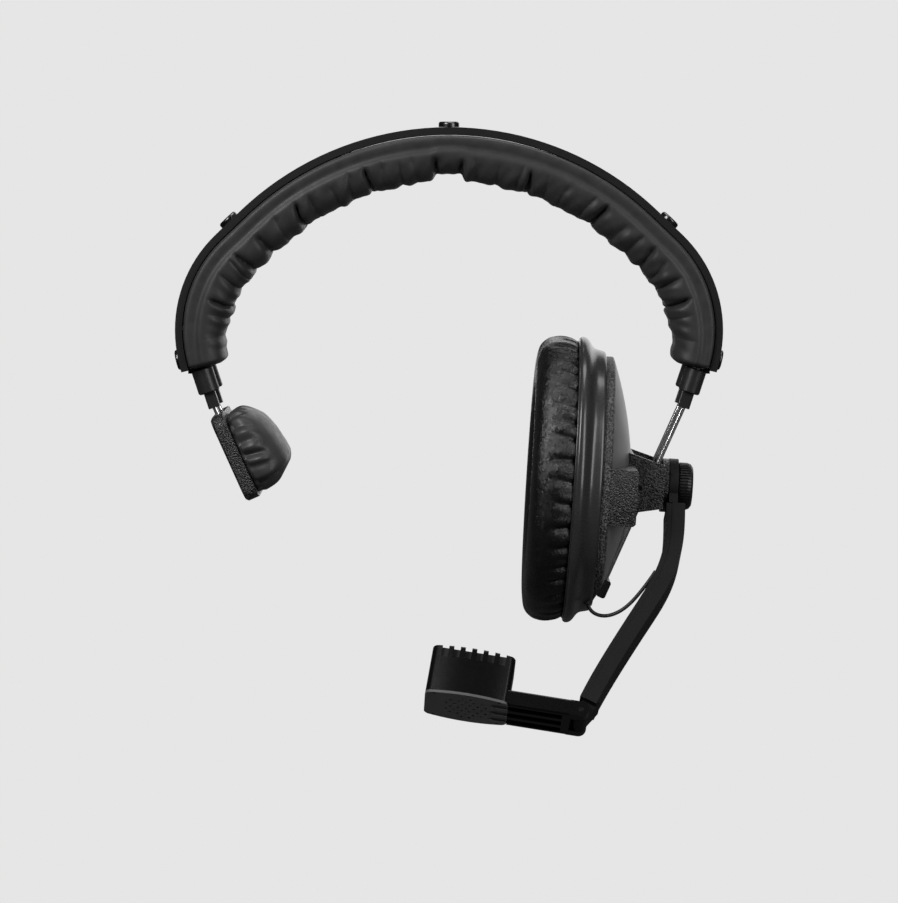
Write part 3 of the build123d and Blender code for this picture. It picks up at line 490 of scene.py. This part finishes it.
class Band:
    """The shell's outer line in XZ: arc length to point and inward normal."""

    def __init__(self):
        self.crown = np.array([0.0, BAND_TOP - CROWN_R])
        out = np.array([math.sin(CROWN_ANGLE), math.cos(CROWN_ANGLE)])
        run = np.array([math.cos(CROWN_ANGLE), -math.sin(CROWN_ANGLE)])
        self.shoulder = self.crown + out * (CROWN_R - SHOULDER_R) + run * STRAIGHT
        self.straight_start = CROWN_R * CROWN_ANGLE
        self.shoulder_start = self.straight_start + STRAIGHT
        self.tail_start = self.shoulder_start + SHOULDER_R * (END_ANGLE - CROWN_ANGLE)
        self.half = self.tail_start + PAD_TAIL

    def at(self, s):
        """Outer point and inward normal at arc length s from the crown (negative is left)."""
        side = -1.0 if s < 0 else 1.0
        s = abs(s)
        if s <= self.straight_start:
            centre, radius, angle, extra = self.crown, CROWN_R, s / CROWN_R, 0.0
        elif s <= self.shoulder_start:
            centre, radius, angle = self.crown, CROWN_R, CROWN_ANGLE
            extra = s - self.straight_start
        else:
            centre, radius = self.shoulder, SHOULDER_R
            arc = min(s, self.tail_start) - self.shoulder_start
            angle = CROWN_ANGLE + arc / SHOULDER_R
            extra = max(0.0, s - self.tail_start)
        out = np.array([math.sin(angle), math.cos(angle)])
        run = np.array([math.cos(angle), -math.sin(angle)])
        point = centre + out * radius + run * extra
        return np.array([side * point[0], point[1]]), np.array([-side * out[0], -out[1]])


def pad_section(count):
    """Closed loop (y, depth below the shell) of the sleeve: flange, fold, gathered roll."""
    half = [
        (0.0, 3.15), (9.0, 3.1), (15.2, 3.15), (16.9, 3.8), (17.1, 5.6), (16.9, 7.4), (17.3, 8.6),
        (17.8, 9.6), (17.9, 11.2), (17.6, 13.4), (16.6, 15.9), (14.6, 18.2), (11.5, 19.7),
        (7.0, 20.4), (0.0, 20.6),
    ]
    right = even(smooth_curve(half, 300), count // 2 + 1)
    left = right[::-1][1:-1] * np.array([-1, 1])
    return np.vstack([right, left])


# Creases on each half of the pad: arc length from the crown and strength
CREASES = [
    (-5.6, 1.0), (5.6, 1.0), (13.5, 0.35), (20.9, 0.55), (29.6, 0.5), (36.0, 1.0), (43.2, 0.5),
    (50.8, 0.6), (61.0, 0.7), (68.3, 1.0), (79.0, 0.5), (89.0, 0.8), (96.5, 1.0), (104.5, 0.6),
    (111.5, 0.75), (124.6, 1.0), (131.5, 0.35), (142.0, 0.2), (160.0, 0.1),
]


class Gathers:
    """Puffed cloth between seeded creases: one row of pleats along the band."""

    def __init__(self, seed):
        local = np.random.default_rng(seed)
        self.places = np.array([place for place, strength in CREASES])
        self.places[2:] += local.uniform(-1.3, 1.3, len(CREASES) - 2)
        self.strength = np.array([strength for place, strength in CREASES])
        self.strength[2:] *= local.uniform(0.8, 1.15, len(CREASES) - 2)
        self.lean = local.uniform(-2.2, 3.6, len(CREASES))
        self.lean[:2] = 0
        self.top = local.uniform(8.8, 11.2, len(CREASES))

    def inward(self, s, depth, across):
        """How far the skin lies inside the plain section at these depths."""
        lean = np.interp(s, self.places, self.lean)
        at = s + lean * (1 - ramp(depth, 9.0, 19.0))
        index = np.clip(np.searchsorted(self.places, at) - 1, 0, len(self.places) - 2)
        low, high = self.places[index], self.places[index + 1]
        t = np.clip((at - low) / (high - low), 0, 1)
        strength = self.strength[index] * (1 - t) + self.strength[index + 1] * t
        top = self.top[index] * (1 - t) + self.top[index + 1] * t
        grown = ramp(depth, top, top + 3.5)
        puffed = (4 * t * (1 - t) + 1e-9) ** 0.55
        total = PUFF_DEPTH * strength * (1 - puffed) * grown * (0.5 + 0.5 * across)
        gap = np.minimum(at - low, high - at)
        near = np.where(at - low < high - at, self.strength[index], self.strength[index + 1])
        sharp = bump(gap, CREASE_WIDTH) * ramp(near, 0.6, 1.0)
        return total + CREASE_DEPTH * sharp * grown * (0.35 + 0.65 * across)


def band_pad(band, materials):
    """Leatherette sleeve of the headband, gathered along its inner side."""
    rows, columns = 620, 120
    section = pad_section(columns)
    centre = np.array([0.0, 11.0])
    loops = []
    reach = band.half + PAD_OVERRUN
    rolls = {(i, j): Gathers(100 + 2 * i + j) for i in (0, 1) for j in (0, 1)}
    for s in np.linspace(-reach, reach, rows):
        end = max(0.0, abs(s) - (reach - PAD_ROUNDING)) / PAD_ROUNDING
        squeeze = max(0.0, 1 - end**2.6) ** 0.5
        loop = section.copy()
        y, depth = loop[:, 0], loop[:, 1]
        taper = 1 - 0.2 * ramp(abs(s), reach - 34, reach)
        pinch = 1 - ramp(abs(s), 3.6, 9.0)
        depth = PAD_DEPTH + (depth - PAD_DEPTH) * taper * (1 - 0.17 * pinch)
        across = ramp(np.abs(y), 6, 13)
        inward = np.zeros_like(depth)
        for j, side in enumerate((-1, 1)):
            share = ramp(side * y, -4.0, 4.0)
            inward += share * rolls[int(s > 0), j].inward(abs(s), depth, across)
        swell = waves(s + 0.5 * depth, 5, (26.0, 11.0, 6.2), (0.3, 0.26, 0.16))
        swell = swell * ramp(depth, 10, 16)
        fold = waves(s, 21, (60.0, 37.0), (0.5, 0.3))
        inward += 0.24 * bump(depth - 7.9 - 0.4 * fold, 1.1) * ramp(np.abs(y), 12, 16)
        rel = np.stack([y, depth], axis=1) - centre
        length = np.linalg.norm(rel, axis=1, keepdims=True)
        keep = ramp(depth, 3.2, 5.0)[:, None]
        rel *= 1 - keep * (inward - swell)[:, None] / np.maximum(length, 4)
        rel *= np.array([1 - 0.1 * end**3, 1.0])
        loop = centre + rel * np.array([squeeze**0.6, squeeze])
        point, normal = band.at(s)
        xz = point + normal * loop[:, 1:2]
        loops.append(np.stack([xz[:, 0], loop[:, 0], xz[:, 1]], axis=1))
    pad = skin("band_pad", loops)
    dress(pad, materials["leatherette"])
    return pad


# ---------------------------------------------------------------- ear cup


class CupFrame:
    """Cup coordinates in mm (up, front, out) to the part's frame."""

    def __init__(self):
        self.origin = np.array([CUP_X, 0.0, CUP_Z])
        self.up = np.array([math.sin(CUP_TILT), 0, math.cos(CUP_TILT)])
        self.out = np.array([math.cos(CUP_TILT), 0, -math.sin(CUP_TILT)])
        self.front = np.array([0.0, -1.0, 0.0])

    def world(self, up, front, out):
        return (
            self.origin
            + np.multiply.outer(up, self.up)
            + np.multiply.outer(front, self.front)
            + np.multiply.outer(out, self.out)
        )


def lathe(cup, name, profile, columns, material):
    """Oval ring about the cup's axis from a closed (radius, out) profile."""
    r, a = profile[:, 0], profile[:, 1]
    loops = []
    for turn in np.linspace(0, TURN, columns, endpoint=False):
        loops.append(cup.world(r * math.cos(turn), OVAL * r * math.sin(turn), a))
    piece = skin(name, loops, close_rows=True)
    dress(piece, material)
    return piece


def ear_pad(cup, materials):
    """Oval ring cushion: smooth face, rounded shoulder, side pleated towards the rim."""
    rows, columns = 720, 96
    control = [
        (31.2, -11.0), (30.6, -16.0), (31.2, -22.0), (34.5, -25.4), (39.5, -26.3), (45.5, -26.1),
        (50.2, -24.9), (52.9, -22.4), (54.0, -19.4), (54.1, -16.4), (53.5, -13.6), (52.6, -11.7),
        (51.3, -10.5), (46.0, -10.3), (36.0, -10.3), (32.0, -10.4), (31.2, -11.0),
    ]
    section = even(smooth_curve(control, 500), columns + 1)[:-1]
    centre = np.array([41.5, -18.0])
    pleats = pleat_places(count=41, seed=31)
    loops = []
    for turn in np.linspace(0, TURN, rows, endpoint=False):
        r, a = section[:, 0], section[:, 1]
        side = ramp(r, 45.5, 50.5)
        near_rim = ramp(a, -22.5, -12.5)
        draw = np.zeros_like(r)
        for place, width, deep, reach, lean in pleats:
            gap = (turn - place + math.pi) % TURN - math.pi
            gap = gap - lean * (a + 10) * 0.01
            grown = ramp(a, -22.5 + reach, -14.5 + reach)
            draw += deep * bump(gap, width * (0.7 + 0.5 * (1 - grown))) * grown
            draw -= 0.3 * deep * bump(abs(gap) - 1.9 * width, width) * grown
        draw *= side
        draw += 0.35 * waves(turn, 3, (0.9, 0.55, 0.31), (0.5, 0.35, 0.3)) * side * (1 - near_rim)
        inner = 1 - ramp(r, 33, 38)
        draw += inner * 0.5 * waves(turn, 8, (0.4, 0.23), (0.6, 0.4)) * ramp(a, -22, -14)
        rel = np.stack([r, a], axis=1) - centre
        length = np.linalg.norm(rel, axis=1)
        scale = 1 - draw / np.maximum(length, 3)
        loop = centre + rel * scale[:, None]
        r, a = loop[:, 0], loop[:, 1]
        loops.append(cup.world(r * math.cos(turn), OVAL * r * math.sin(turn), a))
    pad = skin("ear_pad", loops, close_rows=True)
    dress(pad, materials["ear_leatherette"])
    return pad


def pleat_places(count, seed):
    """Uneven pleats round a ring: turn, half width, depth, reach and lean of each."""
    local = np.random.default_rng(seed)
    step = TURN / count
    places = []
    for i in range(count):
        turn = (i + local.uniform(-0.16, 0.16)) * step
        width = step * local.uniform(0.13, 0.22)
        places.append((turn, width, local.uniform(0.6, 1.35), local.uniform(-1.0, 3.0),
                       local.uniform(-0.4, 0.4)))
    return places


def rim(cup, materials):
    """Glossy rim: flared lip, hollow neck and a step under the cover."""
    profile = smooth_curve([
        (46.3, -10.25), (53.0, -10.25), (54.1, -10.0), (54.5, -9.2), (54.3, -8.0), (53.4, -6.8),
        (51.2, -5.2), (50.3, -4.0), (49.8, -2.0), (49.5, -0.9), (49.0, -0.25), (48.2, -0.05),
    ], 80)
    inner = np.array([(43.3, -0.05), (43.3, -6.0), (46.3, -6.4)])
    return lathe(cup, "rim", np.vstack([profile, inner]), 288, materials["gloss"])


def piping(cup, materials):
    """Thin bright bead between cushion and rim."""
    angle = np.linspace(0, TURN, 12, endpoint=False)
    radius, out, bead = 52.6, -10.4, 0.4
    profile = np.stack([radius + bead * np.cos(angle), out + bead * np.sin(angle)], axis=1)
    return lathe(cup, "rim_piping", profile, 256, materials["gloss"])


# ---------------------------------------------------------------- temple pad


def temple_world(x, y, z):
    """Plate coordinates in mm (down the rods, back, towards the head) to the part's frame."""
    down = np.array([math.sin(ROD_TILT), 0, -math.cos(ROD_TILT)])
    inward = np.array([math.cos(ROD_TILT), 0, math.sin(ROD_TILT)])
    back = np.array([0.0, 1.0, 0.0])
    origin = np.array([TEMPLE_X, 0.0, TEMPLE_Z])
    return (
        origin + np.multiply.outer(x, down) + np.multiply.outer(y, back)
        + np.multiply.outer(z, inward)
    )


def temple_pad(materials):
    """D-shaped cushion: steep gathered sides that blend into a smooth crown."""
    rows, columns = 110, 420
    turns = np.linspace(0, TURN, columns, endpoint=False)
    power = 3.2
    cos, sin = np.cos(turns), np.sin(turns)
    outline = 1 / (np.abs(cos) ** power + np.abs(sin) ** power) ** (1 / power)
    half_length, half_width, shift, base = 16.4, 21.3, 0.9, 2.62
    base_x, base_y = half_length * outline * cos + shift, half_width * outline * sin
    local = np.random.default_rng(12)
    count = 20
    places = [(i + local.uniform(-0.3, 0.3)) * 2 * math.pi / count for i in range(count)]
    depths = local.uniform(0.5, 1.5, count)
    reaches = local.uniform(0.4, 0.6, count)
    leans = local.uniform(-0.08, 0.08, count)
    loops = []
    for t in np.linspace(0, 1, rows):
        rise = math.sin(t * math.pi / 2) ** 0.82
        shrink = max(0.0, 1 - t**2.7) ** 0.5
        bulge = 1 + 0.05 * math.sin(math.pi * min(1, t * 1.5)) - 0.05 * (1 - t) ** 6
        draw = np.zeros(columns)
        for place, deep, reach, lean in zip(places, depths, reaches, leans):
            gap = (turns - place - lean * t + math.pi) % TURN - math.pi
            grown = ramp(t, 0.0, 0.06) * (1 - ramp(t, reach * 0.55, reach + 0.08))
            draw += deep * bump(gap, 0.07) * grown
            draw -= 0.35 * deep * bump(np.abs(gap) - 0.15, 0.07) * grown
        scale = shrink * bulge
        x = base_x * scale - cos * draw
        y = base_y * scale - sin * draw
        height = crown_height(x, y)
        z = base + (height - base) * rise
        slope = 6.5 * np.clip(cos, 0, 1) ** 2 * rise * shrink
        loops.append(temple_world(x - slope + 2.0 * t * shrink, y, z))
    pad = skin("temple_cushion_cover", loops)
    dress(pad, materials["temple_leatherette"])
    return pad


def crown_height(x, y):
    """Thickness of the temple cushion over its plate."""
    along = np.array([-16.0, -10.8, -3.6, 3.0, 8.6, 13.7, 16.0])
    thick = np.array([13.6, 15.8, 17.6, 18.6, 19.0, 18.6, 17.6])
    return np.interp(x, along, thick) - 0.006 * y**2


# ---------------------------------------------------------------- microphone lead


def lead_curve():
    """NURBS curve along the lead's route, in metres, with no thickness."""
    data = bpy.data.curves.new("lead_route", "CURVE")
    data.dimensions = "3D"
    spline = data.splines.new("NURBS")
    spline.points.add(len(LEAD_ROUTE) - 1)
    for point, place in zip(spline.points, LEAD_ROUTE):
        point.co = (*[c * MM for c in place], 1.0)
    spline.order_u = 3
    spline.use_endpoint_u = True
    spline.resolution_u = 24
    return bpy.data.objects.new("lead_route", data)


def mic_lead(materials):
    """Rubber tube along the lead's own curve."""
    route = lead_curve()
    bpy.context.collection.objects.link(route)
    bpy.context.view_layer.update()
    line = bpy.data.meshes.new_from_object(route)
    points = [np.array(v.co) for v in line.vertices]
    bpy.data.objects.remove(route)
    columns = 20
    loops = []
    side = np.array([0.0, 1.0, 0.0])
    for i, point in enumerate(points):
        ahead = points[min(i + 1, len(points) - 1)] - points[max(i - 1, 0)]
        ahead /= np.linalg.norm(ahead)
        side = side - ahead * side.dot(ahead)
        side /= np.linalg.norm(side)
        other = np.cross(ahead, side)
        turn = np.linspace(0, TURN, columns, endpoint=False)
        ring = np.multiply.outer(np.cos(turn), side) + np.multiply.outer(np.sin(turn), other)
        loops.append(point / MM + ring * LEAD_D / 2)
    tube = skin("mic_lead_tube", loops)
    dress(tube, materials["rubber"])
    return tube, points


# ---------------------------------------------------------------- studio


def area_light(name, place, target, size, power):
    data = bpy.data.lights.new(name, "AREA")
    data.shape = "RECTANGLE"
    data.size, data.size_y = size
    data.energy = power
    light = bpy.data.objects.new(name, data)
    light.location = place
    light.rotation_euler = (Vector(target) - Vector(place)).to_track_quat("-Z", "Y").to_euler()
    bpy.context.collection.objects.link(light)
    return light


def studio():
    """Pale glowing backdrop, dim world, four area lights and the camera."""
    size = 6.0
    floor = new_object(
        "backdrop", [(-size, 0, -size), (size, 0, -size), (size, 0, size), (-size, 0, size)],
        [(0, 1, 2, 3)],
    )
    floor.location = (0, 2.2, 0)
    paint = bpy.data.materials.new("backdrop")
    paint.use_nodes = True
    tree = paint.node_tree
    tree.nodes.clear()
    glow = tree.nodes.new("ShaderNodeEmission")
    glow.inputs["Color"].default_value = (0.79, 0.79, 0.79, 1)
    out = tree.nodes.new("ShaderNodeOutputMaterial")
    tree.links.new(glow.outputs[0], out.inputs["Surface"])
    floor.data.materials.append(paint)
    floor.visible_glossy = False

    world = bpy.data.worlds.new("studio")
    bpy.context.scene.world = world
    world.use_nodes = True
    background = world.node_tree.nodes["Background"]
    background.inputs["Color"].default_value = (0.05, 0.05, 0.05, 1)
    background.inputs["Strength"].default_value = 1.0

    middle = (0, 0, -0.09)
    area_light("key", (-0.55, -0.75, 0.5), middle, (0.3, 0.6), 10)
    area_light("fill", (0.75, -0.7, 0.2), middle, (0.35, 0.9), 5)
    area_light("top", (0.1, 0.1, 0.8), middle, (0.8, 0.5), 6)
    area_light("back", (0.3, 1.0, 0.2), middle, (0.9, 0.9), 3.5)

    data = bpy.data.cameras.new("camera")
    data.lens = 137.0
    data.sensor_width = 36
    data.clip_start, data.clip_end = 0.01, 20
    camera = bpy.data.objects.new("camera", data)
    camera.location = (0.0, -1.3, 0.0153)
    aim = Vector((0.0, 0.0, -0.1057)) - camera.location
    camera.rotation_euler = aim.to_track_quat("-Z", "Y").to_euler()
    bpy.context.collection.objects.link(camera)
    bpy.context.scene.camera = camera
    bpy.context.scene.view_settings.view_transform = "Standard"


# ---------------------------------------------------------------- assembly


def main():
    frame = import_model()
    studio()
    materials = make_materials()
    dress_cad(frame, materials)
    band, cup = Band(), CupFrame()

    pad = band_pad(band, materials)
    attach(pad, "headband")
    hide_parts("band_cushion", "band_foam")

    ring = ear_pad(cup, materials)
    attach(ring, "ear_cup")
    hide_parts("ear_cushion", "ear_foam")

    side = temple_pad(materials)
    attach(side, "temple_pad")
    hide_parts("temple_cushion", "temple_foam")

    edge = rim(cup, materials)
    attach(edge, "ear_cup")
    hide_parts("cup_rim")
    bead = piping(cup, materials)
    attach(bead, "ear_cup")

    tube, points = mic_lead(materials)
    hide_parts("mic_lead")
    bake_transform(tube)


main()
